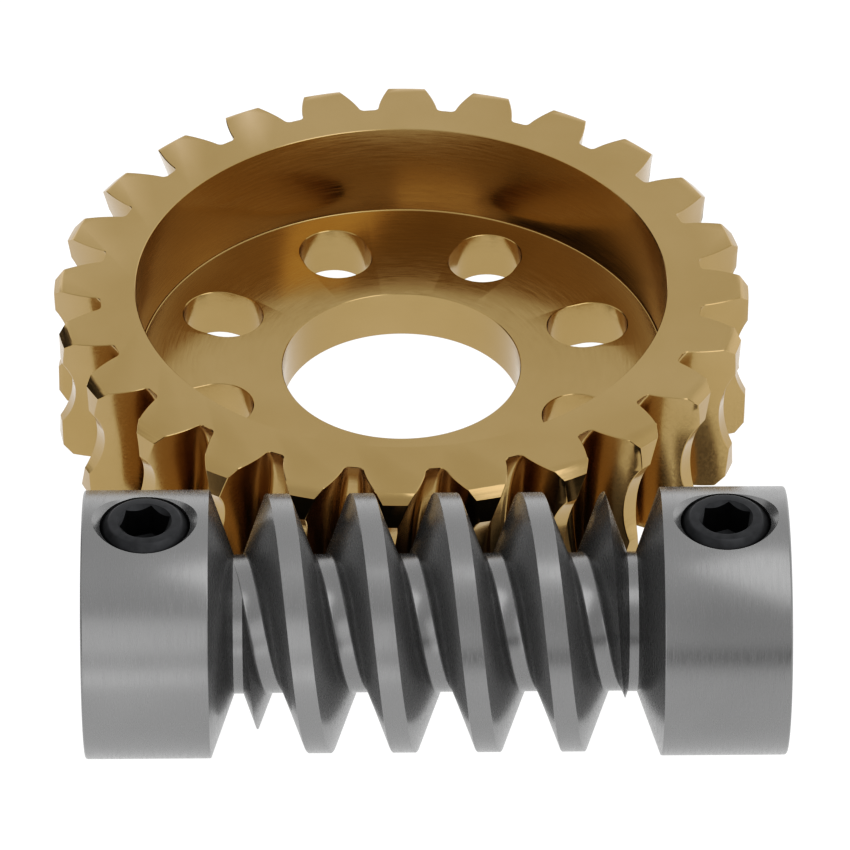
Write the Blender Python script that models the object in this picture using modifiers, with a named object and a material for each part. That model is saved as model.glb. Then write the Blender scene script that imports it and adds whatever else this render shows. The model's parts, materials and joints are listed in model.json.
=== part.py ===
"""Worm gear set: a throated bronze worm wheel and a steel worm with a clamp hub at each end.

The frame has +Z up along the wheel's axis, with its origin on that axis halfway through the wheel's
face width. The worm's axis runs along X at y = -CENTRE_DISTANCE and z = 0. All lengths are in metres.
"""
import math

import bmesh
import bpy
import numpy as np
from mathutils import Matrix

MM = 0.001

# The tooth system: one right-hand thread turns a 24-tooth wheel.
MODULE = 3.0 * MM
TEETH = 24
PRESSURE_ANGLE = math.radians(20.0)
WORM_REFERENCE_RADIUS = 11.5 * MM
TIP_CLEARANCE = 0.25 * MODULE
AXIAL_PITCH = math.pi * MODULE
PITCH_RADIUS = TEETH * MODULE / 2.0
CUTTING_DISTANCE = PITCH_RADIUS + WORM_REFERENCE_RADIUS
CENTRE_DISTANCE = 51.4 * MM

# The worm wheel.
FACE_WIDTH = 18.0 * MM
OUTER_RADIUS = 40.5 * MM
THROAT_RADIUS = PITCH_RADIUS + MODULE
CORNER_CHAMFER = 1.0 * MM
RECESS_RADIUS = 31.0 * MM
RECESS_DEPTH = 12.0 * MM
WHEEL_BORE_RADIUS = 14.0 * MM
SLOT_COUNT = 8
SLOT_WIDTH = 8.2 * MM
SLOT_LENGTH = 9.6 * MM
SLOT_CIRCLE_RADIUS = 23.4 * MM
FIRST_SLOT_ANGLE = math.radians(19.2)
WHEEL_PHASE = math.radians(11.75)
FLANK_POINTS = 5
FLANK_SEARCH_STEPS = 1201

# The worm, with its positions measured along X from the wheel's axis.
THREAD_RADIUS = WORM_REFERENCE_RADIUS + MODULE
THREAD_ROOT_RADIUS = 7.75 * MM
THREAD_PHASE = -1.464 * MM
RUNOUT_ROOT_RADIUS = 7.8 * MM
RUNOUT_ROOT_WIDTH = 1.05 * MM
HUB_RADIUS = 15.0 * MM
HUB_LENGTH = 14.0 * MM
HUB_EDGE_CHAMFER = 0.35 * MM
WORM_LEFT_END = -35.75 * MM
WORM_LENGTH = 78.2 * MM
WORM_RIGHT_END = WORM_LEFT_END + WORM_LENGTH
WORM_BORE_RADIUS = 6.0 * MM
BORE_CHAMFER = 0.5 * MM
GROOVE_STEPS_PER_TURN = 36
ZONE_CLEARANCE = 0.03 * MM

# The set screws, one through the middle of each hub, pointing up.
SCREW_RADIUS = 4.85 * MM
SCREW_LENGTH = 8.0 * MM
SCREW_SINK = 0.2 * MM
SCREW_CHAMFER = 0.85 * MM
SCREW_POINT_RADIUS = 3.3 * MM
SCREW_HOLE_RADIUS = 5.15 * MM
HOLE_MOUTH_RADIUS = 5.85 * MM
SOCKET_ACROSS_FLATS = 5.0 * MM
SOCKET_DEPTH = 4.0 * MM
SOCKET_TURNS = {"left": math.radians(-13.5), "right": math.radians(-8.5)}

# The thrust washer under the wheel, which stays with the gearbox housing.
WASHER_GAP = 0.3 * MM
WASHER_THICKNESS = 1.0 * MM
WASHER_INNER_RADIUS = 16.0 * MM
WASHER_OUTER_RADIUS = 18.3 * MM

SCREW_STEPS = 36
WORM_STEPS = 60
WHEEL_STEPS = 72
OVERCUT = 2.0 * MM


def clear_scene():
    for item in list(bpy.data.objects):
        bpy.data.objects.remove(item)


def make_collection(name):
    group = bpy.data.collections.new(name)
    bpy.context.scene.collection.children.link(group)
    return group


def make_material(name, colour, roughness, metallic):
    material = bpy.data.materials.new(name)
    material.use_nodes = True
    shader = material.node_tree.nodes["Principled BSDF"]
    shader.inputs["Base Color"].default_value = (*colour, 1.0)
    shader.inputs["Roughness"].default_value = roughness
    shader.inputs["Metallic"].default_value = metallic
    return material


def add_object(name, mesh, group, material=None):
    item = bpy.data.objects.new(name, mesh)
    group.objects.link(item)
    if material:
        mesh.materials.append(material)
    return item


def mesh_from_faces(name, points, faces):
    mesh = bpy.data.meshes.new(name)
    mesh.from_pydata([tuple(point) for point in points], [], faces)
    mesh.update()
    return mesh


def add_turned(name, profile, steps, group, material=None):
    """Turn a closed (radius, height) profile, listed down its outer side, about the object's Z axis."""
    points = [(radius, 0.0, height) for radius, height in profile]
    edges = [(i, (i + 1) % len(points)) for i in range(len(points))]
    mesh = bpy.data.meshes.new(name)
    mesh.from_pydata(points, edges, [])
    item = add_object(name, mesh, group, material)
    turn = item.modifiers.new("turn", "SCREW")
    turn.steps = steps
    turn.render_steps = steps
    turn.use_merge_vertices = True
    turn.merge_threshold = 0.00001
    return item


def cut(item, cutter, operation="DIFFERENCE"):
    modifier = item.modifiers.new(cutter.name, "BOOLEAN")
    modifier.operation = operation
    modifier.solver = "EXACT"
    modifier.object = cutter


def mark_cutter(item):
    item.hide_render = True
    item.display_type = "WIRE"
    return item


def shade_round(item, sharp_angle=math.radians(30.0)):
    item.data.shade_smooth()
    item.data.set_sharp_from_angle(angle=sharp_angle)


# The worm wheel


def thread_half_thickness(radius):
    """Half the axial thickness of the worm's thread at a radius from the worm's axis."""
    return AXIAL_PITCH / 4.0 - (radius - WORM_REFERENCE_RADIUS) * math.tan(PRESSURE_ANGLE)


def tooth_space_edges(radius, height):
    """Angles of both edges of the tooth space that the hob leaves, at a wheel radius and a height.

    In the plane at that height the hob's thread is a rack that rolls on the pitch circle. Each edge
    of the space is the furthest angle that the rack's flank reaches at this radius.
    """
    angle = np.linspace(-0.9, 0.9, FLANK_SEARCH_STEPS)
    depth = CUTTING_DISTANCE - radius * np.cos(angle)
    hob_radius = np.hypot(depth, height)
    inside = hob_radius <= THREAD_RADIUS + TIP_CLEARANCE
    lean = AXIAL_PITCH / (2.0 * math.pi) * np.arctan2(height, depth)
    half = thread_half_thickness(hob_radius)
    upper = angle - (radius * np.sin(angle) - lean - half) / PITCH_RADIUS
    lower = angle - (radius * np.sin(angle) - lean + half) / PITCH_RADIUS
    return lower[inside].min(), upper[inside].max()


def tip_radius(height):
    """The wheel's outline: a throat round the worm, a straight rim on each side, chamfered corners."""
    throat = CUTTING_DISTANCE - THROAT_RADIUS
    curve = CUTTING_DISTANCE - math.sqrt(max(throat ** 2 - height ** 2, 0.0))
    corner = OUTER_RADIUS + FACE_WIDTH / 2.0 - CORNER_CHAMFER - abs(height)
    return min(curve, OUTER_RADIUS, corner)


def root_radius(height):
    hob_tip = THREAD_RADIUS + TIP_CLEARANCE
    return CUTTING_DISTANCE - math.sqrt(hob_tip ** 2 - height ** 2)


def slice_heights():
    """Heights of the wheel's cross-sections, from the bottom face to the top face."""
    throat = CUTTING_DISTANCE - THROAT_RADIUS
    throat_edge = math.sqrt(throat ** 2 - (CUTTING_DISTANCE - OUTER_RADIUS) ** 2)
    half = FACE_WIDTH / 2.0
    upper = [throat_edge * fraction for fraction in (1.0 / 3.0, 2.0 / 3.0, 1.0)]
    upper += [half - CORNER_CHAMFER, half]
    return [-height for height in reversed(upper)] + [0.0] + upper


def wheel_slice(height):
    """Points round one cross-section: up one flank of each tooth space and down the other."""
    radii = np.linspace(root_radius(height) + 0.02 * MM, tip_radius(height), FLANK_POINTS)
    edges = [tooth_space_edges(radius, height) for radius in radii]
    points = []
    for tooth in range(TEETH):
        middle = WHEEL_PHASE + (tooth + 0.5) * 2.0 * math.pi / TEETH
        down = [(radius, middle + low) for radius, (low, _) in zip(radii, edges)][::-1]
        up = [(radius, middle + high) for radius, (_, high) in zip(radii, edges)]
        for radius, turn in down + up:
            points.append((radius * math.cos(turn), radius * math.sin(turn), height))
    return points


def toothed_blank():
    """The solid wheel with its teeth, a loft through its cross-sections."""
    heights = slice_heights()
    points = [point for height in heights for point in wheel_slice(height)]
    count = 2 * FLANK_POINTS * TEETH
    faces = [list(range(count))[::-1]]
    for level in range(len(heights) - 1):
        low = level * count
        for i in range(count):
            j = (i + 1) % count
            faces.append((low + i, low + j, low + count + j, low + count + i))
    faces.append(list(range(len(points) - count, len(points))))
    return mesh_from_faces("worm_wheel", points, faces)


def add_wheel_inside(cutters):
    """The recess above the web and the bore through it, as one stepped plug."""
    top = FACE_WIDTH / 2.0
    profile = [
        (0.0, top + OVERCUT),
        (RECESS_RADIUS, top + OVERCUT),
        (RECESS_RADIUS, top - RECESS_DEPTH),
        (WHEEL_BORE_RADIUS, top - RECESS_DEPTH),
        (WHEEL_BORE_RADIUS, -top - OVERCUT),
        (0.0, -top - OVERCUT),
    ]
    return mark_cutter(add_turned("cut_wheel_inside", profile, WHEEL_STEPS, cutters))


def add_slot_cutter(cutters):
    """The ring of short radial slots: each is a cylinder whose halves are moved apart."""
    shape = bmesh.new()
    stretch = (SLOT_LENGTH - SLOT_WIDTH) / 2.0
    for index in range(SLOT_COUNT):
        made = bmesh.ops.create_cone(
            shape,
            cap_ends=True,
            segments=24,
            radius1=SLOT_WIDTH / 2.0,
            radius2=SLOT_WIDTH / 2.0,
            depth=FACE_WIDTH + 2.0 * OVERCUT,
            matrix=Matrix.Rotation(math.pi / 24.0, 4, "Z"),
        )
        turn = FIRST_SLOT_ANGLE + index * 2.0 * math.pi / SLOT_COUNT
        for vert in made["verts"]:
            vert.co.x += math.copysign(stretch, vert.co.x) + SLOT_CIRCLE_RADIUS
            vert.co.rotate(Matrix.Rotation(turn, 3, "Z"))
    mesh = bpy.data.meshes.new("cut_slots")
    shape.to_mesh(mesh)
    shape.free()
    return mark_cutter(add_object("cut_slots", mesh, cutters))


def add_worm_wheel(parts, cutters, bronze):
    wheel = add_object("worm_wheel", toothed_blank(), parts, bronze)
    cut(wheel, add_wheel_inside(cutters))
    cut(wheel, add_slot_cutter(cutters))
    shade_round(wheel)
    return wheel


# The worm, modelled with its axis on Z and then laid along X


def run_out_groove(hub_edge, side):
    """Points of the turned groove beside a hub, from the hub's edge to the thread's outside."""
    slope = math.tan(PRESSURE_ANGLE)
    root = hub_edge + side * (HUB_RADIUS - RUNOUT_ROOT_RADIUS) * slope
    far = root + side * RUNOUT_ROOT_WIDTH
    outside = far + side * (THREAD_RADIUS - RUNOUT_ROOT_RADIUS) * slope
    return [
        (HUB_RADIUS, hub_edge),
        (RUNOUT_ROOT_RADIUS, root),
        (RUNOUT_ROOT_RADIUS, far),
        (THREAD_RADIUS, outside),
    ]


def worm_profile():
    """The turned blank, listed from its +X end down the outside and back up the bore."""
    right = run_out_groove(WORM_RIGHT_END - HUB_LENGTH, -1.0)
    left = run_out_groove(WORM_LEFT_END + HUB_LENGTH, 1.0)
    outside = [(WORM_BORE_RADIUS + BORE_CHAMFER, WORM_RIGHT_END)]
    outside += [(HUB_RADIUS - HUB_EDGE_CHAMFER, WORM_RIGHT_END)]
    outside += [(HUB_RADIUS, WORM_RIGHT_END - HUB_EDGE_CHAMFER)]
    outside += right + left[::-1]
    outside += [(HUB_RADIUS, WORM_LEFT_END + HUB_EDGE_CHAMFER)]
    outside += [(HUB_RADIUS - HUB_EDGE_CHAMFER, WORM_LEFT_END)]
    bore = [(WORM_BORE_RADIUS + BORE_CHAMFER, WORM_LEFT_END)]
    bore += [(WORM_BORE_RADIUS, WORM_LEFT_END + BORE_CHAMFER)]
    bore += [(WORM_BORE_RADIUS, WORM_RIGHT_END - BORE_CHAMFER)]
    return outside + bore


def groove_section():
    """The helical groove's section as (radius, offset along the axis), wider towards the outside."""
    outer = HUB_RADIUS + OVERCUT
    root_half = AXIAL_PITCH / 2.0 - thread_half_thickness(THREAD_ROOT_RADIUS)
    outer_half = AXIAL_PITCH / 2.0 - thread_half_thickness(outer)
    return [
        (THREAD_ROOT_RADIUS, -root_half),
        (THREAD_ROOT_RADIUS, root_half),
        (outer, outer_half),
        (outer, -outer_half),
    ]


def add_thread_groove(cutters):
    """The right-hand groove between the threads, from one run-out groove to the other."""
    section = groove_section()
    start = WORM_LEFT_END + HUB_LENGTH + 1.0 * MM
    end = WORM_RIGHT_END - HUB_LENGTH - 1.0 * MM
    lead = AXIAL_PITCH / (2.0 * math.pi)
    first = (start - THREAD_PHASE) / lead
    last = (end - THREAD_PHASE) / lead
    count = round((last - first) / (2.0 * math.pi) * GROOVE_STEPS_PER_TURN)
    points = []
    for turn in np.linspace(first, last, count + 1):
        for radius, offset in section:
            height = THREAD_PHASE + lead * turn + offset
            points.append((radius * math.cos(turn), radius * math.sin(turn), height))
    size = len(section)
    faces = [tuple(range(size))]
    for step in range(count):
        low = step * size
        for i in range(size):
            j = (i + 1) % size
            faces.append((low + j, low + i, low + size + i, low + size + j))
    faces.append(tuple(range(len(points) - size, len(points)))[::-1])
    mesh = mesh_from_faces("cut_thread", points, faces)
    return mark_cutter(add_object("cut_thread", mesh, cutters))


def add_thread_zone(cutters):
    """The space between the hubs' cones, which keeps the thread's groove off the hubs."""
    slope = math.tan(PRESSURE_ANGLE)
    left = WORM_LEFT_END + HUB_LENGTH + ZONE_CLEARANCE
    right = WORM_RIGHT_END - HUB_LENGTH - ZONE_CLEARANCE
    inner = WORM_BORE_RADIUS
    outer = HUB_RADIUS + 2.0 * OVERCUT
    profile = [
        (outer, right + (outer - HUB_RADIUS) * slope),
        (outer, left - (outer - HUB_RADIUS) * slope),
        (inner, left + (HUB_RADIUS - inner) * slope),
        (inner, right - (HUB_RADIUS - inner) * slope),
    ]
    return mark_cutter(add_turned("cut_thread_zone", profile, WORM_STEPS, cutters))


def hub_middles():
    return {
        "left": WORM_LEFT_END + HUB_LENGTH / 2.0,
        "right": WORM_RIGHT_END - HUB_LENGTH / 2.0,
    }


def add_screw_hole(side, middle, cutters):
    """A hole from the hub's crown to the bore's axis, with a 45 degree countersunk mouth."""
    mouth_depth = HOLE_MOUTH_RADIUS - SCREW_HOLE_RADIUS
    profile = [
        (0.0, HUB_RADIUS + OVERCUT),
        (HOLE_MOUTH_RADIUS + OVERCUT, HUB_RADIUS + OVERCUT),
        (SCREW_HOLE_RADIUS, HUB_RADIUS - mouth_depth),
        (SCREW_HOLE_RADIUS, 0.0),
        (0.0, 0.0),
    ]
    hole = mark_cutter(add_turned("cut_" + side + "_screw_hole", profile, SCREW_STEPS, cutters))
    hole.location = (middle, -CENTRE_DISTANCE, 0.0)
    return hole


def place_on_worm_axis(item):
    """Lay the object's own Z along the worm's axis, and its own Y along the frame's +Z."""
    turn = Matrix(((0.0, 0.0, 1.0), (1.0, 0.0, 0.0), (0.0, 1.0, 0.0))).to_4x4()
    item.matrix_world = Matrix.Translation((0.0, -CENTRE_DISTANCE, 0.0)) @ turn


def add_worm(parts, cutters, steel):
    worm = add_turned("worm", worm_profile(), WORM_STEPS, parts, steel)
    groove = add_thread_groove(cutters)
    zone = add_thread_zone(cutters)
    for item in (worm, groove, zone):
        place_on_worm_axis(item)
    cut(groove, zone, "INTERSECT")
    cut(worm, groove)
    for side, middle in hub_middles().items():
        cut(worm, add_screw_hole(side, middle, cutters))
    shade_round(worm)
    return worm


# The set screws and the washer


def add_socket_cutter(name, turn, cutters):
    """The hexagon socket, with one corner at an angle from +Y that shows how far the screw is turned."""
    shape = bmesh.new()
    corner = SOCKET_ACROSS_FLATS / 2.0 / math.cos(math.pi / 6.0)
    bmesh.ops.create_cone(
        shape,
        cap_ends=True,
        segments=6,
        radius1=corner,
        radius2=corner,
        depth=SOCKET_DEPTH + OVERCUT,
        matrix=Matrix.Translation((0.0, 0.0, (OVERCUT - SOCKET_DEPTH) / 2.0)),
    )
    for vert in shape.verts:
        vert.co.rotate(Matrix.Rotation(turn, 3, "Z"))
    mesh = bpy.data.meshes.new(name)
    shape.to_mesh(mesh)
    shape.free()
    return mark_cutter(add_object(name, mesh, cutters))


def set_screw_profile():
    """A flat-point screw, listed from the middle of its top, down its side, to its point."""
    return [
        (0.0, 0.0),
        (SCREW_RADIUS - SCREW_CHAMFER, 0.0),
        (SCREW_RADIUS, -SCREW_CHAMFER),
        (SCREW_RADIUS, SCREW_RADIUS - SCREW_POINT_RADIUS - SCREW_LENGTH),
        (SCREW_POINT_RADIUS, -SCREW_LENGTH),
        (0.0, -SCREW_LENGTH),
    ]


def add_set_screw(side, middle, parts, cutters, blackened):
    """A screw whose origin is on its own axis, at its top, just below the hub's crown."""
    name = side + "_set_screw"
    screw = add_turned(name, set_screw_profile(), SCREW_STEPS, parts, blackened)
    socket = add_socket_cutter("cut_" + side + "_socket", SOCKET_TURNS[side], cutters)
    for item in (screw, socket):
        item.location = (middle, -CENTRE_DISTANCE, HUB_RADIUS - SCREW_SINK)
    cut(screw, socket)
    shade_round(screw)
    return screw


def add_thrust_washer(parts, steel):
    top = -FACE_WIDTH / 2.0 - WASHER_GAP
    bottom = top - WASHER_THICKNESS
    profile = [
        (WASHER_OUTER_RADIUS, top),
        (WASHER_OUTER_RADIUS, bottom),
        (WASHER_INNER_RADIUS, bottom),
        (WASHER_INNER_RADIUS, top),
    ]
    washer = add_turned("thrust_washer", profile, WHEEL_STEPS, parts, steel)
    shade_round(washer)
    return washer


def main():
    clear_scene()
    parts = make_collection("worm_gear_set")
    cutters = make_collection("cutters")
    bronze = make_material("bronze", (0.42, 0.30, 0.13), 0.3, 1.0)
    steel = make_material("steel", (0.32, 0.32, 0.33), 0.38, 1.0)
    blackened = make_material("blackened_steel", (0.02, 0.02, 0.02), 0.45, 0.9)
    add_worm_wheel(parts, cutters, bronze)
    add_worm(parts, cutters, steel)
    for side, middle in hub_middles().items():
        add_set_screw(side, middle, parts, cutters, blackened)
    add_thrust_washer(parts, steel)


main()
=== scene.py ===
"""Looks of the worm gear set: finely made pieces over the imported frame, with turned and hobbed metal.

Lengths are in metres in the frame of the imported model: +Z is up along the wheel's axis, and the
worm lies along X in front of the wheel, on its -Y side.
"""
import json
import math

import bpy
import numpy as np
from mathutils import Matrix, Vector

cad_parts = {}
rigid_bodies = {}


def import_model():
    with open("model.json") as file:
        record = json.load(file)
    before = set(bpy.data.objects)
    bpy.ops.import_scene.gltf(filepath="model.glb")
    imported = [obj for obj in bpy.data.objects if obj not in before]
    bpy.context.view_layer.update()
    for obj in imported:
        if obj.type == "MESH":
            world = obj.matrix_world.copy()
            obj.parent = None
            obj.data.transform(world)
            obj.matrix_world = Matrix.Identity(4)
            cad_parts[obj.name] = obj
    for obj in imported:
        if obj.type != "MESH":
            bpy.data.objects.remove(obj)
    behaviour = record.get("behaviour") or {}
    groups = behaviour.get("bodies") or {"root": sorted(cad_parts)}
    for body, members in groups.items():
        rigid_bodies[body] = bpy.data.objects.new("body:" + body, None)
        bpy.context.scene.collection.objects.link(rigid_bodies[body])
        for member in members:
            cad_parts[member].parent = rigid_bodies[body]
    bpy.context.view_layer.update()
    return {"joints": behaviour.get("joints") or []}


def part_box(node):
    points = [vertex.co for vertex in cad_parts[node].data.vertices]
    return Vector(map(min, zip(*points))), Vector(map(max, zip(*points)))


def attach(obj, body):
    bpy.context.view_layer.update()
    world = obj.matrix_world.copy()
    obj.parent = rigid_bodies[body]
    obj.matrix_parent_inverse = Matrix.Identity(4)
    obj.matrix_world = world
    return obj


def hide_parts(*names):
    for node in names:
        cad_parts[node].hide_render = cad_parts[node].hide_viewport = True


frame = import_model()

MM = 0.001

# The tooth system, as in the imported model.
MODULE = 3.0 * MM
TEETH = 24
PRESSURE_ANGLE = math.radians(20.0)
WORM_REFERENCE_RADIUS = 11.5 * MM
TIP_CLEARANCE = 0.25 * MODULE
AXIAL_PITCH = math.pi * MODULE
PITCH_RADIUS = TEETH * MODULE / 2.0
CUTTING_DISTANCE = PITCH_RADIUS + WORM_REFERENCE_RADIUS

# The wheel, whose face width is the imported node's.
WHEEL_LOW, WHEEL_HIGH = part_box("worm_wheel")
FACE_WIDTH = WHEEL_HIGH.z - WHEEL_LOW.z
OUTER_RADIUS = 40.5 * MM
THROAT_RADIUS = PITCH_RADIUS + MODULE
CORNER_CHAMFER = 1.0 * MM
RECESS_RADIUS = 31.0 * MM
RECESS_DEPTH = 12.0 * MM
WHEEL_BORE_RADIUS = 14.0 * MM
SLOT_COUNT = 8
SLOT_WIDTH = 8.2 * MM
SLOT_LENGTH = 9.6 * MM
SLOT_CIRCLE_RADIUS = 23.4 * MM
FIRST_SLOT_ANGLE = math.radians(19.2)
WHEEL_PHASE = math.radians(11.75)
WHEEL_EDGE = 0.08 * MM
TOOTH_EDGE = 0.07 * MM
ROOT_FILLET = 0.5 * MM
FLOOR_FILLET = 0.22 * MM
FILLET_POINTS = 4
FLANK_POINTS = 10
FLANK_SEARCH_STEPS = 1601
FLANK_SEARCH_ANGLE = 0.9
ROOT_OFFSET = 0.01 * MM
THROAT_SLICES = 9
RIM_SLICES = 4

# The worm, placed by its node's box and its joint.
WORM_LOW, WORM_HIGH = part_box("worm")
WORM_JOINT = next(joint for joint in frame["joints"] if joint["name"] == "worm_spin")
WORM_AXIS = Vector(WORM_JOINT["pos_m"])
HUB_RADIUS = (WORM_HIGH.z - WORM_LOW.z) / 2.0
HUB_LENGTH = 14.0 * MM
HUB_EDGE = 0.3 * MM
HUB_SHOULDER_EDGE = 0.12 * MM
THREAD_RADIUS = WORM_REFERENCE_RADIUS + MODULE
THREAD_ROOT_RADIUS = 7.75 * MM
THREAD_PHASE = -1.464 * MM
THREAD_EDGE = 0.08 * MM
THREAD_FILLET = 0.45 * MM
RUNOUT_ROOT_RADIUS = 7.8 * MM
RUNOUT_ROOT_WIDTH = 1.05 * MM
WORM_BORE_RADIUS = 6.0 * MM
BORE_CHAMFER = 0.5 * MM
ZONE_CLEARANCE = 0.03 * MM
GROOVE_STEPS_PER_TURN = 144
GROOVE_END_GAP = 0.5 * MM
EDGE_ROUNDING = 0.3

# The set screws, placed by their nodes' boxes.
SCREW_CHAMFER = 0.85 * MM
SCREW_POINT_RADIUS = 3.3 * MM
SCREW_EDGE = 0.12 * MM
POINT_LIP = 0.2 * MM
CUP_SLOPE = 0.4
SCREW_HOLE_RADIUS = 5.0 * MM
HOLE_MOUTH_RADIUS = 5.85 * MM
SOCKET_ACROSS_FLATS = 5.0 * MM
SOCKET_DEPTH = 4.0 * MM
SOCKET_POINT_DEPTH = 1.1 * MM
SOCKET_POINT_RADIUS = 0.29 * MM
SOCKET_LEAD_IN = 0.5 * MM
SOCKET_MOUTH_RADIUS = 3.0 * MM
SOCKET_TURNS = {"left": math.radians(-13.5), "right": math.radians(-8.5)}

# The washer, sized by its node's box.
WASHER_BORE_RADIUS = 16.0 * MM
WASHER_EDGE = 0.12 * MM

# How finely the pieces are made.
TURNED_STEPS = 240
SCREW_STEPS = 96
SLOT_STEPS = 48
ARC_POINTS = 5
THREAD_FILLET_POINTS = 4
MERGE_DISTANCE = 0.001 * MM
OVERCUT = 1.0 * MM
SHARP_ANGLE = math.radians(28.0)

# The metals. The lines are turning marks to the metre, and the bump is their depth.
BRONZE = {
    "base": (0.42, 0.298, 0.148),
    "tint": (0.385, 0.268, 0.127),
    "roughness": 0.18,
    "spread": 0.07,
    "lines": 4200.0,
    "bump": 0.0022 * MM,
    "anisotropy": 0.0,
    "metallic": 1.0,
}
STEEL = {
    "base": (0.25, 0.25, 0.25),
    "tint": (0.23, 0.23, 0.23),
    "roughness": 0.25,
    "spread": 0.05,
    "lines": 6500.0,
    "bump": 0.0004 * MM,
    "anisotropy": 0.5,
    "metallic": 0.72,
}
GROUND_STEEL = {
    "base": (0.34, 0.34, 0.34),
    "tint": (0.31, 0.31, 0.31),
    "roughness": 0.25,
    "spread": 0.05,
    "lines": 6000.0,
    "bump": 0.001 * MM,
    "anisotropy": 0.0,
    "metallic": 1.0,
}
COARSE_ARC_DETAIL = 7.0
FINE_ARC_DETAIL = 16.0
FINE_LINES = 3.3
FINE_SEED = 11.0
COARSE_SHARE = 0.6
STAIN_SCALE = 70.0
STAIN_SEED = 3.0
AXIS_RADIUS = 0.1 * MM
NOISE_RANGE = (0.35, 0.65)

OXIDE_DARK = (0.044, 0.045, 0.047)
OXIDE_LIGHT = (0.060, 0.061, 0.064)
OXIDE_ROUGHNESS = (0.38, 0.5)
OXIDE_METALLIC = 0.85
OXIDE_SCALE = 900.0
OXIDE_BUMP = 0.004 * MM
OXIDE_BUMP_STRENGTH = 0.6

# The floor and the tent of light round the set. Each range is of a direction's x, y or z.
FLOOR_SIZE = 3.0
FLOOR_GAP = 0.2 * MM
FLOOR_GREY = 0.1
FLOOR_ROUGHNESS = 0.9
FLOOR_GLOW = 1.0
TENT_LEVELS = (1.4, 0.9)
TENT_HEIGHTS = (0.0, 0.75)
FRONT_LEVELS = (0.72, 1.0)
FRONT_RANGE = (-0.85, -0.1)
OPENING_SIDE = (-0.72, -0.6)
OPENING_HEIGHTS = (0.4, 0.52)
OPENING_DARKNESS = 0.93
STRIP_SIDE = (-0.75, -0.6)
STRIP_HEIGHTS = (0.2, 0.3)
STRIP_DARKNESS = 0.72
LIGHTS = {
    "over_right_hub": {
        "place": (0.10, -0.11, 0.24),
        "aim": (0.05, -0.0514, 0.01),
        "size": (0.13, 0.20),
        "power": 0.105,
    },
    "before_left_hub": {
        "place": (-0.04, -0.125, 0.022),
        "aim": (-0.03, -0.0514, 0.0),
        "size": (0.085, 0.08),
        "power": 0.015,
    },
}

# The camera: a long lens, in front of the worm and above it.
CAMERA_PLACE = Vector((-4.95, -667.1, 505.0)) * MM
CAMERA_TILT = math.radians(90.0 - 37.77)
CAMERA_HEADING = math.radians(-0.664)
CAMERA_ROLL = math.radians(0.052)
CAMERA_LENS = 301.92
CAMERA_SENSOR = 36.0
CAMERA_REACH = 20.0
TONE_POINTS = [(0.02, 0.006), (0.06, 0.031), (0.12, 0.09), (0.2, 0.185), (0.3, 0.297), (0.6, 0.6)]

CUTTERS = bpy.data.collections.new("cutters")
bpy.context.scene.collection.children.link(CUTTERS)


# Mesh tools


def add_object(name, data, group=None):
    item = bpy.data.objects.new(name, data)
    (group or bpy.context.scene.collection).objects.link(item)
    return item


def mesh_from_faces(name, points, faces):
    mesh = bpy.data.meshes.new(name)
    mesh.from_pydata([tuple(point) for point in points], [], faces)
    mesh.update()
    return mesh


def turned(name, profile, steps, group=None):
    """Turn a closed (radius, height) profile, listed down its outer side, about the object's Z axis."""
    points = [(radius, 0.0, height) for radius, height in profile]
    edges = [(i, (i + 1) % len(points)) for i in range(len(points))]
    mesh = bpy.data.meshes.new(name)
    mesh.from_pydata(points, edges, [])
    item = add_object(name, mesh, group)
    turn = item.modifiers.new("turn", "SCREW")
    turn.steps = steps
    turn.render_steps = steps
    turn.use_merge_vertices = True
    turn.merge_threshold = MERGE_DISTANCE
    return item


def loft(name, loops, group=None):
    """A closed solid through loops of equal size, from the lowest loop to the highest."""
    count = len(loops[0])
    points = [point for loop in loops for point in loop]
    faces = [tuple(range(count))[::-1]]
    for level in range(len(loops) - 1):
        low = level * count
        for i in range(count):
            j = (i + 1) % count
            faces.append((low + i, low + j, low + count + j, low + count + i))
    faces.append(tuple(range(len(points) - count, len(points))))
    return add_object(name, mesh_from_faces(name, points, faces), group)


def cut(item, cutter, operation="DIFFERENCE"):
    modifier = item.modifiers.new(cutter.name, "BOOLEAN")
    modifier.operation = operation
    modifier.solver = "EXACT"
    modifier.object = cutter


def settle(item):
    """Apply the modifiers and shade the result round, with its real edges kept sharp."""
    graph = bpy.context.evaluated_depsgraph_get()
    mesh = bpy.data.meshes.new_from_object(item.evaluated_get(graph))
    item.modifiers.clear()
    item.data = mesh
    mesh.shade_smooth()
    mesh.set_sharp_from_angle(angle=SHARP_ANGLE)


def arc(centre, radius, start, end, count):
    """Points of an arc as (radius, height) pairs, with the angles in degrees."""
    turns = np.radians(np.linspace(start, end, count))
    return [(centre[0] + radius * math.cos(t), centre[1] + radius * math.sin(t)) for t in turns]


# The worm wheel


def thread_half_thickness(radius):
    """Half the axial thickness of the worm's thread at a radius from the worm's axis."""
    return AXIAL_PITCH / 4.0 - (radius - WORM_REFERENCE_RADIUS) * math.tan(PRESSURE_ANGLE)


def tooth_space_edges(radius, height):
    """Angles of both edges of the tooth space that the hob leaves, at a wheel radius and a height."""
    angle = np.linspace(-FLANK_SEARCH_ANGLE, FLANK_SEARCH_ANGLE, FLANK_SEARCH_STEPS)
    depth = CUTTING_DISTANCE - radius * np.cos(angle)
    hob_radius = np.hypot(depth, height)
    inside = hob_radius <= THREAD_RADIUS + TIP_CLEARANCE
    lean = AXIAL_PITCH / (2.0 * math.pi) * np.arctan2(height, depth)
    half = thread_half_thickness(hob_radius)
    upper = angle - (radius * np.sin(angle) - lean - half) / PITCH_RADIUS
    lower = angle - (radius * np.sin(angle) - lean + half) / PITCH_RADIUS
    return lower[inside].min(), upper[inside].max()


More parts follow.
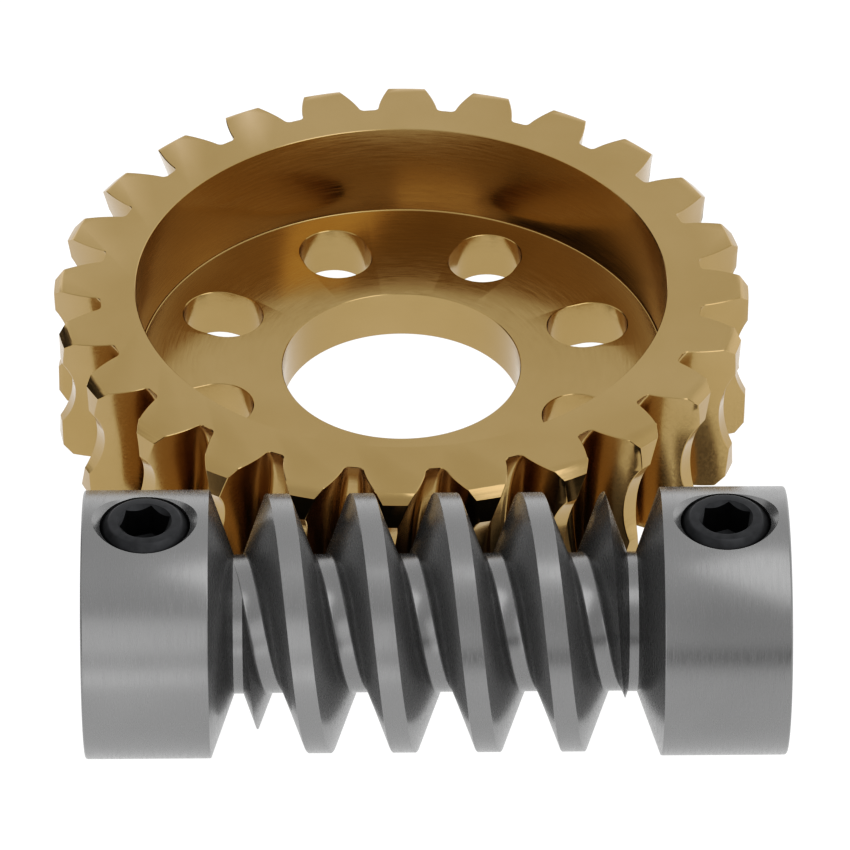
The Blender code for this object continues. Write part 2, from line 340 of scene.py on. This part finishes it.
def tip_radius(height):
    """The wheel's outline: a throat round the worm, a straight rim on each side, chamfered corners."""
    throat = CUTTING_DISTANCE - THROAT_RADIUS
    curve = CUTTING_DISTANCE - math.sqrt(max(throat ** 2 - height ** 2, 0.0))
    corner = OUTER_RADIUS + FACE_WIDTH / 2.0 - CORNER_CHAMFER - abs(height)
    return min(curve, OUTER_RADIUS, corner)


def root_radius(height):
    hob_tip = THREAD_RADIUS + TIP_CLEARANCE
    return CUTTING_DISTANCE - math.sqrt(hob_tip ** 2 - height ** 2)


def slice_heights():
    """Heights of the wheel's cross-sections, close together in the throat and at each face."""
    throat = CUTTING_DISTANCE - THROAT_RADIUS
    throat_edge = math.sqrt(throat ** 2 - (CUTTING_DISTANCE - OUTER_RADIUS) ** 2)
    half = FACE_WIDTH / 2.0
    upper = list(np.linspace(0.0, throat_edge, THROAT_SLICES))[1:]
    upper += list(np.linspace(throat_edge, half - CORNER_CHAMFER, RIM_SLICES))[1:]
    upper += [half - CORNER_CHAMFER / 2.0, half - WHEEL_EDGE, half]
    return [-height for height in reversed(upper)] + [0.0] + upper


def half_space(radii, edges, side):
    """One side of a tooth space from its root to its tip, as (radius, angle) pairs."""
    root = radii[0]
    points = []
    for turn in np.linspace(0.0, math.pi / 2.0, FILLET_POINTS + 1)[:-1]:
        radius = root + ROOT_FILLET * (1.0 - math.cos(turn))
        edge = np.interp(radius, radii, edges)
        points.append((radius, edge - side * ROOT_FILLET * (1.0 - math.sin(turn)) / radius))
    for radius in np.linspace(root + ROOT_FILLET, radii[-1] - TOOTH_EDGE, FLANK_POINTS):
        points.append((radius, np.interp(radius, radii, edges)))
    points.append((radii[-1], edges[-1] + side * TOOTH_EDGE / radii[-1]))
    return points


def wheel_slice(height):
    """Points round one cross-section: up one flank of each tooth space and down the other."""
    inset = max(abs(height) - FACE_WIDTH / 2.0 + WHEEL_EDGE, 0.0)
    radii = np.linspace(root_radius(height), tip_radius(height), 2 * FLANK_POINTS)
    found = [tooth_space_edges(radius + ROOT_OFFSET, height) for radius in radii]
    lower = np.array([low for low, _ in found]) - inset / radii
    upper = np.array([high for _, high in found]) + inset / radii
    down = half_space(radii, lower, -1.0)[::-1]
    up = half_space(radii, upper, 1.0)
    middle_root = (radii[0], (down[-1][1] + up[0][1]) / 2.0)
    land = up[-1][1]
    next_land = down[0][1] + 2.0 * math.pi / TEETH
    tips = [(radii[-1], land + (next_land - land) * part) for part in (1.0 / 3.0, 2.0 / 3.0)]
    outline = [(radius - inset, turn) for radius, turn in down + [middle_root] + up + tips]
    points = []
    for tooth in range(TEETH):
        middle = WHEEL_PHASE + (tooth + 0.5) * 2.0 * math.pi / TEETH
        for radius, turn in outline:
            angle = middle + turn
            points.append((radius * math.cos(angle), radius * math.sin(angle), height))
    return points


def wheel_inside_profile():
    """The recess, its rounded floor corner and the bore, with a small break on every edge."""
    top = FACE_WIDTH / 2.0
    floor = top - RECESS_DEPTH
    flare = OVERCUT + WHEEL_EDGE
    corner = (RECESS_RADIUS - FLOOR_FILLET, floor + FLOOR_FILLET)
    profile = [(0.0, top + OVERCUT), (RECESS_RADIUS + flare, top + OVERCUT)]
    profile += [(RECESS_RADIUS, top - WHEEL_EDGE)]
    profile += arc(corner, FLOOR_FILLET, 0.0, -90.0, ARC_POINTS)
    profile += [(WHEEL_BORE_RADIUS + WHEEL_EDGE, floor), (WHEEL_BORE_RADIUS, floor - WHEEL_EDGE)]
    profile += [(WHEEL_BORE_RADIUS, -top + WHEEL_EDGE), (WHEEL_BORE_RADIUS + flare, -top - OVERCUT)]
    return profile + [(0.0, -top - OVERCUT)]


def slot_outline(turn, height, grow):
    """A stadium round a slot's centre, its long side pointing away from the wheel's axis."""
    stretch = (SLOT_LENGTH - SLOT_WIDTH) / 2.0
    radius = SLOT_WIDTH / 2.0 + grow
    points = []
    for step in range(SLOT_STEPS):
        angle = (step + 0.5) * 2.0 * math.pi / SLOT_STEPS
        along = SLOT_CIRCLE_RADIUS + radius * math.cos(angle)
        along += math.copysign(stretch, math.cos(angle))
        across = radius * math.sin(angle)
        x = along * math.cos(turn) - across * math.sin(turn)
        y = along * math.sin(turn) + across * math.cos(turn)
        points.append((x, y, height))
    return points


def add_slot_cutter(index):
    turn = FIRST_SLOT_ANGLE + index * 2.0 * math.pi / SLOT_COUNT
    low = -FACE_WIDTH / 2.0
    high = FACE_WIDTH / 2.0 - RECESS_DEPTH
    flare = OVERCUT + WHEEL_EDGE
    loops = [
        slot_outline(turn, low - OVERCUT, flare),
        slot_outline(turn, low + WHEEL_EDGE, 0.0),
        slot_outline(turn, high - WHEEL_EDGE, 0.0),
        slot_outline(turn, high + OVERCUT, flare),
    ]
    return loft("cut_slot_" + str(index), loops, CUTTERS)


def make_wheel():
    wheel = loft("bronze_wheel", [wheel_slice(height) for height in slice_heights()])
    cut(wheel, turned("cut_wheel_inside", wheel_inside_profile(), TURNED_STEPS, CUTTERS))
    for index in range(SLOT_COUNT):
        cut(wheel, add_slot_cutter(index))
    settle(wheel)
    return wheel


# The worm, made with its axis on the object's Z and then laid along X


def run_out_groove(hub_edge, side):
    """The turned groove beside a hub, from the hub's edge to the thread's outside."""
    slope = math.tan(PRESSURE_ANGLE)
    edge = HUB_SHOULDER_EDGE
    root = hub_edge + side * (HUB_RADIUS - RUNOUT_ROOT_RADIUS) * slope
    far = root + side * RUNOUT_ROOT_WIDTH
    outside = far + side * (HUB_RADIUS - RUNOUT_ROOT_RADIUS) * slope
    return [
        (HUB_RADIUS, hub_edge - side * edge),
        (HUB_RADIUS - EDGE_ROUNDING * edge, hub_edge),
        (HUB_RADIUS - edge, hub_edge + side * edge * slope),
        (RUNOUT_ROOT_RADIUS, root),
        (RUNOUT_ROOT_RADIUS, far),
        (THREAD_RADIUS, outside - side * (HUB_RADIUS - THREAD_RADIUS) * slope),
    ]


def worm_profile():
    """The turned blank, listed from its +X end down the outside and back up the bore."""
    right_end = WORM_HIGH.x
    left_end = WORM_LOW.x
    right = run_out_groove(right_end - HUB_LENGTH, -1.0)
    left = run_out_groove(left_end + HUB_LENGTH, 1.0)
    inner = HUB_RADIUS - HUB_EDGE
    outside = [(WORM_BORE_RADIUS + BORE_CHAMFER, right_end)]
    outside += arc((inner, right_end - HUB_EDGE), HUB_EDGE, 90.0, 0.0, ARC_POINTS)
    outside += right + left[::-1]
    outside += arc((inner, left_end + HUB_EDGE), HUB_EDGE, 0.0, -90.0, ARC_POINTS)
    bore = [(WORM_BORE_RADIUS + BORE_CHAMFER, left_end)]
    bore += [(WORM_BORE_RADIUS, left_end + BORE_CHAMFER)]
    bore += [(WORM_BORE_RADIUS, right_end - BORE_CHAMFER)]
    return outside + bore


def groove_section():
    """The helical groove's section as (radius, offset along the axis), round at its root corners."""
    outer = HUB_RADIUS + OVERCUT

    def half_width(radius):
        return AXIAL_PITCH / 2.0 - thread_half_thickness(radius)

    side = []
    for turn in np.linspace(0.0, math.pi / 2.0 - PRESSURE_ANGLE, THREAD_FILLET_POINTS):
        radius = THREAD_ROOT_RADIUS + THREAD_FILLET * (1.0 - math.cos(turn))
        tangent = THREAD_ROOT_RADIUS + THREAD_FILLET * (1.0 - math.sin(PRESSURE_ANGLE))
        centre = half_width(tangent) - THREAD_FILLET * math.cos(PRESSURE_ANGLE)
        side.append((radius, centre + THREAD_FILLET * math.sin(turn)))
    edge = THREAD_RADIUS - THREAD_EDGE
    side.append((edge, half_width(edge)))
    side.append((outer, half_width(edge) + outer - edge))
    return [(radius, -offset) for radius, offset in side[::-1]] + side


def add_thread_groove():
    """The right-hand groove between the threads, from one run-out groove to the other."""
    section = groove_section()
    start = WORM_LOW.x + HUB_LENGTH + GROOVE_END_GAP
    end = WORM_HIGH.x - HUB_LENGTH - GROOVE_END_GAP
    lead = AXIAL_PITCH / (2.0 * math.pi)
    first = (start - THREAD_PHASE) / lead
    last = (end - THREAD_PHASE) / lead
    count = round((last - first) / (2.0 * math.pi) * GROOVE_STEPS_PER_TURN)
    loops = []
    for turn in np.linspace(first, last, count + 1):
        height = THREAD_PHASE + lead * turn
        loops.append(
            [(r * math.cos(turn), r * math.sin(turn), height + z) for r, z in section]
        )
    return loft("cut_thread", loops, CUTTERS)


def add_thread_zone():
    """The space between the hubs' cones, which keeps the thread's groove off the hubs."""
    slope = math.tan(PRESSURE_ANGLE)
    left = WORM_LOW.x + HUB_LENGTH + ZONE_CLEARANCE
    right = WORM_HIGH.x - HUB_LENGTH - ZONE_CLEARANCE
    inner = WORM_BORE_RADIUS
    outer = HUB_RADIUS + 2.0 * OVERCUT
    profile = [
        (outer, right + (outer - HUB_RADIUS) * slope),
        (outer, left - (outer - HUB_RADIUS) * slope),
        (inner, left + (HUB_RADIUS - inner) * slope),
        (inner, right - (HUB_RADIUS - inner) * slope),
    ]
    return turned("cut_thread_zone", profile, TURNED_STEPS, CUTTERS)


def screw_middle(side):
    low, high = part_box(side + "_set_screw")
    return (low + high) / 2.0


def add_screw_hole(side):
    """A hole from the hub's crown into the bore, with a 45 degree countersunk mouth."""
    mouth_depth = HOLE_MOUTH_RADIUS - SCREW_HOLE_RADIUS
    profile = [
        (0.0, HUB_RADIUS + OVERCUT),
        (HOLE_MOUTH_RADIUS + OVERCUT, HUB_RADIUS + OVERCUT),
        (SCREW_HOLE_RADIUS, HUB_RADIUS - mouth_depth),
        (SCREW_HOLE_RADIUS, 0.0),
        (0.0, 0.0),
    ]
    hole = turned("cut_" + side + "_screw_hole", profile, SCREW_STEPS, CUTTERS)
    hole.location = (screw_middle(side).x, WORM_AXIS.y, WORM_AXIS.z)
    return hole


def lay_along_worm_axis(item):
    """Lay the object's own Z along the worm's axis, and its own Y along the frame's +Z."""
    turn = Matrix(((0.0, 0.0, 1.0), (1.0, 0.0, 0.0), (0.0, 1.0, 0.0))).to_4x4()
    item.matrix_world = Matrix.Translation(WORM_AXIS) @ turn


def make_worm():
    worm = turned("steel_worm", worm_profile(), TURNED_STEPS)
    groove = add_thread_groove()
    zone = add_thread_zone()
    for item in (worm, groove, zone):
        lay_along_worm_axis(item)
    cut(groove, zone, "INTERSECT")
    cut(worm, groove)
    for side in ("left", "right"):
        cut(worm, add_screw_hole(side))
    settle(worm)
    return worm


# The set screws and the washer


def screw_profile(radius, length):
    """A cup-point screw, listed from the middle of its top, down its side, to its point."""
    face = radius - SCREW_CHAMFER
    lip = SCREW_POINT_RADIUS - POINT_LIP
    return [
        (0.0, 0.0),
        (face - SCREW_EDGE, 0.0),
        (face, -EDGE_ROUNDING * SCREW_EDGE),
        (face + SCREW_EDGE, -SCREW_EDGE),
        (radius - SCREW_EDGE, -SCREW_CHAMFER + SCREW_EDGE),
        (radius, -SCREW_CHAMFER - SCREW_EDGE),
        (radius, radius - SCREW_POINT_RADIUS - length),
        (SCREW_POINT_RADIUS, -length),
        (lip, -length),
        (0.0, CUP_SLOPE * lip - length),
    ]


def socket_loops(turn):
    """The hexagon socket, from its drilled point up past the top of the screw."""
    corner = SOCKET_ACROSS_FLATS / 2.0 / math.cos(math.pi / 6.0)
    levels = [
        (SOCKET_POINT_RADIUS, -SOCKET_DEPTH - SOCKET_POINT_DEPTH),
        (corner, -SOCKET_DEPTH),
        (corner, OVERCUT),
    ]
    turns = [math.pi / 2.0 + turn + k * math.pi / 3.0 for k in range(6)]
    return [[(r * math.cos(t), r * math.sin(t), z) for t in turns] for r, z in levels]


def make_screw(side):
    low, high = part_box(side + "_set_screw")
    radius = (high.x - low.x) / 2.0
    name = side + "_socket_screw"
    screw = turned(name, screw_profile(radius, high.z - low.z), SCREW_STEPS)
    socket = loft("cut_" + side + "_socket", socket_loops(SOCKET_TURNS[side]), CUTTERS)
    cone = [
        (0.0, OVERCUT),
        (SOCKET_MOUTH_RADIUS + OVERCUT, OVERCUT),
        (SOCKET_MOUTH_RADIUS - SOCKET_LEAD_IN, -SOCKET_LEAD_IN),
        (0.0, -SOCKET_LEAD_IN),
    ]
    lead_in = turned("cut_" + side + "_lead_in", cone, SCREW_STEPS, CUTTERS)
    for item in (screw, socket, lead_in):
        item.location = (screw_middle(side).x, WORM_AXIS.y, high.z)
    cut(screw, socket)
    cut(screw, lead_in)
    settle(screw)
    return screw


def make_washer():
    low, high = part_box("thrust_washer")
    outer = high.x
    inner = WASHER_BORE_RADIUS
    edge = WASHER_EDGE
    profile = [
        (outer - edge, high.z),
        (outer, high.z - edge),
        (outer, low.z + edge),
        (outer - edge, low.z),
        (inner + edge, low.z),
        (inner, low.z + edge),
        (inner, high.z - edge),
        (inner + edge, high.z),
    ]
    washer = turned("ground_washer", profile, TURNED_STEPS)
    settle(washer)
    return washer


# Materials


class Nodes:
    """Adds and links the nodes of one tree."""

    def __init__(self, tree):
        self.tree = tree

    def add(self, kind, **inputs):
        node = self.tree.nodes.new(kind)
        for name, value in inputs.items():
            self.put(node.inputs[name.replace("_", " ")], value)
        return node

    def put(self, socket, value):
        if isinstance(value, bpy.types.NodeSocket):
            self.tree.links.new(value, socket)
        else:
            socket.default_value = value

    def math(self, operation, *values):
        node = self.tree.nodes.new("ShaderNodeMath")
        node.operation = operation
        for socket, value in zip(node.inputs, values):
            self.put(socket, value)
        return node.outputs[0]

    def ramp(self, value, levels, bounds=NOISE_RANGE, smooth=False):
        """Carry a value between two bounds onto two levels."""
        node = self.add(
            "ShaderNodeMapRange",
            Value=value,
            From_Min=bounds[0],
            From_Max=bounds[1],
            To_Min=levels[0],
            To_Max=levels[1],
        )
        node.interpolation_type = "SMOOTHSTEP" if smooth else "LINEAR"
        return node.outputs["Result"]

    def noise(self, vector, w=0.0, scale=1.0, detail=2.0):
        node = self.tree.nodes.new("ShaderNodeTexNoise")
        node.noise_dimensions = "4D"
        self.put(node.inputs["Vector"], vector)
        self.put(node.inputs["W"], w)
        self.put(node.inputs["Scale"], scale)
        self.put(node.inputs["Detail"], detail)
        return node.outputs["Fac"]

    def mix(self, share, first, second):
        """A colour between two others."""
        node = self.tree.nodes.new("ShaderNodeMix")
        node.data_type = "RGBA"
        self.put(node.inputs[0], share)
        self.put(node.inputs[6], (*first, 1.0))
        self.put(node.inputs[7], (*second, 1.0))
        return node.outputs[2]

    def bump(self, height, strength, distance):
        node = self.add("ShaderNodeBump", Height=height, Strength=strength, Distance=distance)
        return node.outputs["Normal"]


def new_material(name):
    """A material, a helper for its nodes, and its surface node."""
    material = bpy.data.materials.new(name)
    material.use_nodes = True
    return material, Nodes(material.node_tree), material.node_tree.nodes["Principled BSDF"]


def lathe_marks(nodes, lines, arc_detail, seed=0.0):
    """Fine grooves round the object's own Z axis: rings on flat faces and hoops on round ones."""
    place = nodes.add("ShaderNodeTexCoord").outputs["Object"]
    x, y, height = nodes.add("ShaderNodeSeparateXYZ", Vector=place).outputs
    square = nodes.math("ADD", nodes.math("POWER", x, 2.0), nodes.math("POWER", y, 2.0))
    radius = nodes.math("SQRT", square)
    divisor = nodes.math("MAXIMUM", radius, AXIS_RADIUS)
    vector = nodes.add(
        "ShaderNodeCombineXYZ",
        X=nodes.math("MULTIPLY", nodes.math("DIVIDE", x, divisor), arc_detail),
        Y=nodes.math("MULTIPLY", nodes.math("DIVIDE", y, divisor), arc_detail),
        Z=nodes.math("MULTIPLY", height, lines),
    )
    return nodes.noise(vector.outputs["Vector"], nodes.math("MULTIPLY_ADD", radius, lines, seed))


def metal(name, look):
    """A worked metal: turning marks in bump and roughness, soft stains in its colour."""
    material, nodes, surface = new_material(name)
    coarse = lathe_marks(nodes, look["lines"], COARSE_ARC_DETAIL)
    fine = lathe_marks(nodes, FINE_LINES * look["lines"], FINE_ARC_DETAIL, FINE_SEED)
    marks = nodes.math(
        "ADD",
        nodes.math("MULTIPLY", coarse, COARSE_SHARE),
        nodes.math("MULTIPLY", fine, 1.0 - COARSE_SHARE),
    )
    place = nodes.add("ShaderNodeTexCoord").outputs["Object"]
    stain = nodes.noise(place, STAIN_SEED, STAIN_SCALE, 4.0)
    colour = nodes.mix(nodes.ramp(stain, (0.0, 1.0)), look["base"], look["tint"])
    rough = (look["roughness"] - look["spread"], look["roughness"] + look["spread"])
    nodes.put(surface.inputs["Base Color"], colour)
    nodes.put(surface.inputs["Roughness"], nodes.ramp(marks, rough))
    nodes.put(surface.inputs["Metallic"], look["metallic"])
    nodes.put(surface.inputs["Normal"], nodes.bump(marks, 1.0, look["bump"]))
    if look["anisotropy"]:
        tangent = nodes.add("ShaderNodeTangent")
        tangent.direction_type = "RADIAL"
        tangent.axis = "Z"
        nodes.put(surface.inputs["Tangent"], tangent.outputs["Tangent"])
        nodes.put(surface.inputs["Anisotropic"], look["anisotropy"])
    return material


def blackened_metal(name):
    """Black oxide: dark and satin, with a faint mottle."""
    material, nodes, surface = new_material(name)
    place = nodes.add("ShaderNodeTexCoord").outputs["Object"]
    mottle = nodes.noise(place, 1.0, OXIDE_SCALE, 3.0)
    colour = nodes.mix(nodes.ramp(mottle, (0.0, 1.0)), OXIDE_DARK, OXIDE_LIGHT)
    nodes.put(surface.inputs["Base Color"], colour)
    nodes.put(surface.inputs["Roughness"], nodes.ramp(mottle, OXIDE_ROUGHNESS))
    nodes.put(surface.inputs["Metallic"], OXIDE_METALLIC)
    nodes.put(surface.inputs["Normal"], nodes.bump(mottle, OXIDE_BUMP_STRENGTH, OXIDE_BUMP))
    return material


# The studio


def make_floor():
    """A plain white floor under the worm."""
    height = WORM_LOW.z - FLOOR_GAP
    signs = [(-1.0, -1.0), (1.0, -1.0), (1.0, 1.0), (-1.0, 1.0)]
    corners = [(FLOOR_SIZE * x, FLOOR_SIZE * y, height) for x, y in signs]
    floor = add_object("floor", mesh_from_faces("floor", corners, [(0, 1, 2, 3)]))
    material, nodes, surface = new_material("floor_white")
    nodes.put(surface.inputs["Base Color"], (FLOOR_GREY, FLOOR_GREY, FLOOR_GREY, 1.0))
    nodes.put(surface.inputs["Roughness"], FLOOR_ROUGHNESS)
    nodes.put(surface.inputs["Emission Color"], (1.0, 1.0, 1.0, 1.0))
    nodes.put(surface.inputs["Emission Strength"], FLOOR_GLOW)
    floor.data.materials.append(material)


def darkened(nodes, first, second, darkness):
    """1, less a share where two masks meet."""
    return nodes.math("MULTIPLY_ADD", nodes.math("MULTIPLY", first, second), -darkness, 1.0)


def make_world():
    """A white tent, brightest low down, with a dark opening low on the left and a dim strip in front."""
    world = bpy.data.worlds.new("studio")
    bpy.context.scene.world = world
    world.use_nodes = True
    nodes = Nodes(world.node_tree)
    way = nodes.add("ShaderNodeTexCoord").outputs["Generated"]
    x, y, z = nodes.add("ShaderNodeSeparateXYZ", Vector=way).outputs
    fade = (1.0, 0.0)
    tent = nodes.ramp(z, TENT_LEVELS, TENT_HEIGHTS, smooth=True)
    front = nodes.ramp(y, FRONT_LEVELS, FRONT_RANGE, smooth=True)
    left = nodes.ramp(x, fade, OPENING_SIDE, smooth=True)
    low = nodes.ramp(z, fade, OPENING_HEIGHTS, smooth=True)
    near = nodes.ramp(y, fade, STRIP_SIDE, smooth=True)
    flat = nodes.ramp(z, fade, STRIP_HEIGHTS, smooth=True)
    opening = darkened(nodes, left, low, OPENING_DARKNESS)
    strip = darkened(nodes, near, flat, STRIP_DARKNESS)
    tent = nodes.math("MULTIPLY", tent, front)
    light = nodes.math("MULTIPLY", tent, nodes.math("MULTIPLY", opening, strip))
    background = world.node_tree.nodes["Background"]
    nodes.put(background.inputs["Color"], (1.0, 1.0, 1.0, 1.0))
    nodes.put(background.inputs["Strength"], light)


def add_area_light(name, place, aim, size, power):
    data = bpy.data.lights.new(name, "AREA")
    data.shape = "RECTANGLE"
    data.size = size[0]
    data.size_y = size[1]
    data.energy = power
    light = add_object(name, data)
    light.location = place
    light.rotation_euler = (Vector(aim) - Vector(place)).to_track_quat("-Z", "Y").to_euler()


def make_camera():
    """A long lens, looking down at the set from in front of the worm."""
    data = bpy.data.cameras.new("camera")
    data.lens = CAMERA_LENS
    data.sensor_width = CAMERA_SENSOR
    data.clip_end = CAMERA_REACH
    camera = add_object("camera", data)
    turn = Matrix.Rotation(CAMERA_HEADING, 4, "Z") @ Matrix.Rotation(CAMERA_TILT, 4, "X")
    camera.matrix_world = Matrix.Translation(CAMERA_PLACE) @ turn @ Matrix.Rotation(CAMERA_ROLL, 4, "Z")
    bpy.context.scene.camera = camera


def set_tone():
    """The standard view with a gentle toe, which deepens the shadows."""
    view = bpy.context.scene.view_settings
    view.view_transform = "Standard"
    view.use_curve_mapping = True
    curve = view.curve_mapping.curves[3]
    for place, level in TONE_POINTS:
        curve.points.new(place, level)
    view.curve_mapping.update()


def main():
    bronze = metal("bronze", BRONZE)
    steel = metal("steel", STEEL)
    ground = metal("ground_steel", GROUND_STEEL)
    blackened = blackened_metal("blackened_steel")
    made = [
        (make_wheel(), "wheel", "worm_wheel", "bronze", bronze),
        (make_worm(), "worm_body", "worm", "steel", steel),
        (make_screw("left"), "left_screw", "left_set_screw", "blackened_steel", blackened),
        (make_screw("right"), "right_screw", "right_set_screw", "blackened_steel", blackened),
        (make_washer(), "frame", "thrust_washer", "washer_steel", ground),
    ]
    for piece, body, node, slot, material in made:
        piece.data.materials.clear()
        piece.data.materials.append(material)
        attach(piece, body)
        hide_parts(node)
    for cutter in list(CUTTERS.objects):
        bpy.data.objects.remove(cutter)
    bpy.data.collections.remove(CUTTERS)
    make_floor()
    make_world()
    for name, light in LIGHTS.items():
        add_area_light(name, **light)
    make_camera()
    set_tone()


main()
